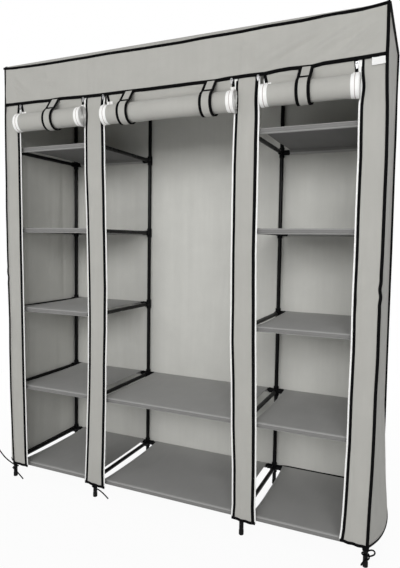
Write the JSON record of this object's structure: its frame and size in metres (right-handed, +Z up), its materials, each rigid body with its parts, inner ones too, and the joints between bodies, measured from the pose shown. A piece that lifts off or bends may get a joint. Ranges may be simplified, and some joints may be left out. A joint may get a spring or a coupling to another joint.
{
  "type": "portable fabric wardrobe",
  "caption": "Free-standing wardrobe: a frame of tubes in three bays with cloth shelves and a hanging rail, under a grey cloth cover with zipped roll-up doors.",
  "frame": {"origin": "on the floor, at the middle of the footprint, with the loose ends of the ribbon ties left out", "axes": "+Z up, +Y from the doors to the back, +X to the right as seen from the front"},
  "size_m": [1.5802, 0.535, 1.7554],
  "materials": {
    "steel_tube": "gloss black powder coat",
    "level_tubes": "gloss black tubes in satin black moulded connectors",
    "shelf_cloth": "pressed non-woven cloth with a spot pattern",
    "cover_cloth": "pressed non-woven cloth with black binding and white zip tape",
    "zip_metal": "polished",
    "ribbon": "woven ribbon"
  },
  "bodies": {
    "root": {"post_front_left_end": "steel_tube", "post_front_left_middle": "steel_tube", "post_front_right_middle": "steel_tube", "post_front_right_end": "steel_tube", "post_back_left_end": "steel_tube", "post_back_left_middle": "steel_tube", "post_back_right_middle": "steel_tube", "post_back_right_end": "steel_tube", "level_frame_0": "level_tubes", "level_frame_1": "level_tubes", "left_shelf_frame_2": "level_tubes", "left_shelf_frame_3": "level_tubes", "left_shelf_frame_4": "level_tubes", "right_shelf_frame_2": "level_tubes", "right_shelf_frame_3": "level_tubes", "right_shelf_frame_4": "level_tubes", "top_frame_with_hanging_rail": "level_tubes", "left_shelf_0": "shelf_cloth", "left_shelf_1": "shelf_cloth", "left_shelf_2": "shelf_cloth", "left_shelf_3": "shelf_cloth", "left_shelf_4": "shelf_cloth", "middle_shelf_0": "shelf_cloth", "middle_shelf_1": "shelf_cloth", "right_shelf_0": "shelf_cloth", "right_shelf_1": "shelf_cloth", "right_shelf_2": "shelf_cloth", "right_shelf_3": "shelf_cloth", "right_shelf_4": "shelf_cloth", "top_panel": "cover_cloth", "back_panel": "cover_cloth", "left_side_panel": "cover_cloth", "right_side_panel": "cover_cloth", "front_header": "cover_cloth", "pillar_left_end": "cover_cloth", "pillar_left_middle": "cover_cloth", "pillar_right_middle": "cover_cloth", "pillar_right_end": "cover_cloth", "left_strap": "cover_cloth", "middle_left_strap": "cover_cloth", "middle_right_strap": "cover_cloth", "right_strap": "cover_cloth", "tie_left_foot": "ribbon", "tie_centre_foot": "ribbon", "tie_right_foot": "ribbon"},
    "left_door": {"left_door": "cover_cloth"},
    "middle_door": {"middle_door": "cover_cloth"},
    "right_door": {"right_door": "cover_cloth"},
    "left_door_slider_left": {"left_door_slider_left": "zip_metal"},
    "left_door_slider_right": {"left_door_slider_right": "zip_metal"},
    "middle_door_slider_left": {"middle_door_slider_left": "zip_metal"},
    "middle_door_slider_right": {"middle_door_slider_right": "zip_metal"},
    "right_door_slider_left": {"right_door_slider_left": "zip_metal"},
    "right_door_slider_right": {"right_door_slider_right": "zip_metal"},
    "left_door_pull_left": {"left_door_pull_left": "zip_metal"},
    "left_door_pull_right": {"left_door_pull_right": "zip_metal"},
    "middle_door_pull_left": {"middle_door_pull_left": "zip_metal"},
    "middle_door_pull_right": {"middle_door_pull_right": "zip_metal"},
    "right_door_pull_left": {"right_door_pull_left": "zip_metal"},
    "right_door_pull_right": {"right_door_pull_right": "zip_metal"}
  },
  "joints": [
    {"name": "left_door_lowers", "type": "slide", "parent": "root", "child": "left_door", "axis": [0, 0, -1], "range_m": [0, 1.39], "deforming": ["left_strap"]},
    {"name": "middle_door_lowers", "type": "slide", "parent": "root", "child": "middle_door", "axis": [0, 0, -1], "range_m": [0, 1.39], "deforming": ["middle_left_strap", "middle_right_strap"]},
    {"name": "right_door_lowers", "type": "slide", "parent": "root", "child": "right_door", "axis": [0, 0, -1], "range_m": [0, 1.39], "deforming": ["right_strap"]},
    {"name": "left_door_zip_left", "type": "slide", "parent": "root", "child": "left_door_slider_left", "axis": [0, 0, -1], "range_m": [0, 1.39]},
    {"name": "left_door_zip_right", "type": "slide", "parent": "root", "child": "left_door_slider_right", "axis": [0, 0, -1], "range_m": [0, 1.39]},
    {"name": "middle_door_zip_left", "type": "slide", "parent": "root", "child": "middle_door_slider_left", "axis": [0, 0, -1], "range_m": [0, 1.39]},
    {"name": "middle_door_zip_right", "type": "slide", "parent": "root", "child": "middle_door_slider_right", "axis": [0, 0, -1], "range_m": [0, 1.39]},
    {"name": "right_door_zip_left", "type": "slide", "parent": "root", "child": "right_door_slider_left", "axis": [0, 0, -1], "range_m": [0, 1.39]},
    {"name": "right_door_zip_right", "type": "slide", "parent": "root", "child": "right_door_slider_right", "axis": [0, 0, -1], "range_m": [0, 1.39]},
    {"name": "left_door_pull_left_swings", "type": "hinge", "parent": "left_door_slider_left", "child": "left_door_pull_left", "pos_m": [-0.66068, -0.21152, 1.5825], "axis": [-1, 0, 0], "range_deg": [0, 150]},
    {"name": "left_door_pull_right_swings", "type": "hinge", "parent": "left_door_slider_right", "child": "left_door_pull_right", "pos_m": [-0.349, -0.21152, 1.5825], "axis": [-1, 0, 0], "range_deg": [0, 150]},
    {"name": "middle_door_pull_left_swings", "type": "hinge", "parent": "middle_door_slider_left", "child": "middle_door_pull_left", "pos_m": [-0.257, -0.21152, 1.5825], "axis": [-1, 0, 0], "range_deg": [0, 150]},
    {"name": "middle_door_pull_right_swings", "type": "hinge", "parent": "middle_door_slider_right", "child": "middle_door_pull_right", "pos_m": [0.257, -0.21152, 1.5825], "axis": [-1, 0, 0], "range_deg": [0, 150]},
    {"name": "right_door_pull_left_swings", "type": "hinge", "parent": "right_door_slider_left", "child": "right_door_pull_left", "pos_m": [0.349, -0.21152, 1.5825], "axis": [-1, 0, 0], "range_deg": [0, 150]},
    {"name": "right_door_pull_right_swings", "type": "hinge", "parent": "right_door_slider_right", "child": "right_door_pull_right", "pos_m": [0.66068, -0.21152, 1.5825], "axis": [-1, 0, 0], "range_deg": [0, 150]}
  ],
  "couplings": [
    {"joint": "left_door_zip_left", "follows": "left_door_lowers", "ratio": 1},
    {"joint": "left_door_zip_right", "follows": "left_door_lowers", "ratio": 1},
    {"joint": "middle_door_zip_left", "follows": "middle_door_lowers", "ratio": 1},
    {"joint": "middle_door_zip_right", "follows": "middle_door_lowers", "ratio": 1},
    {"joint": "right_door_zip_left", "follows": "right_door_lowers", "ratio": 1},
    {"joint": "right_door_zip_right", "follows": "right_door_lowers", "ratio": 1}
  ]
}
